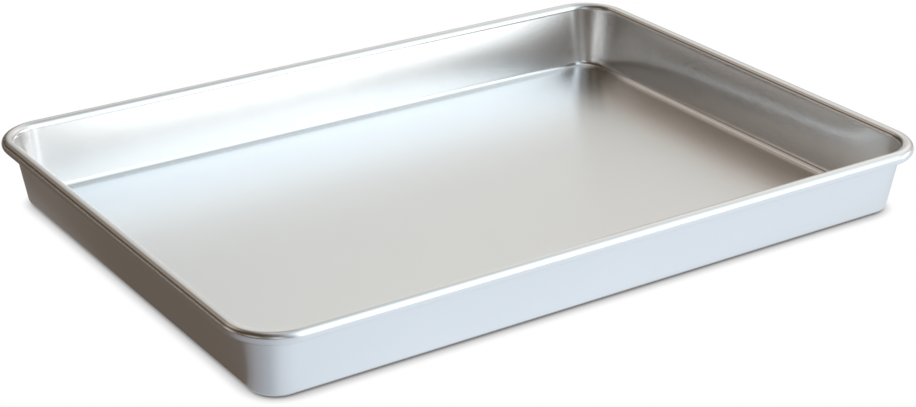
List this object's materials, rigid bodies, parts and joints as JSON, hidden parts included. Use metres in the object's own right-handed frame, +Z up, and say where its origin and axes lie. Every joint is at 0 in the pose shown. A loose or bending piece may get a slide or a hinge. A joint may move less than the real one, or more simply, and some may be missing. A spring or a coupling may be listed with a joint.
{
  "type": "baking pan",
  "caption": "Deep rectangular baking pan drawn from one aluminium sheet, with leaning walls, rounded corners and a rim rolled around a steel wire.",
  "frame": {"origin": "middle of the base, on the plane the pan rests on", "axes": "+X along the pan's length, +Y along its width, +Z up out of its open top"},
  "size_m": [0.454, 0.327, 0.0432],
  "materials": {
    "pan_aluminium": "satin",
    "galvanised_wire": "dull galvanised"
  },
  "bodies": {
    "root": {"pan_shell": "pan_aluminium", "rim_wire": "galvanised_wire"}
  },
  "joints": []
}
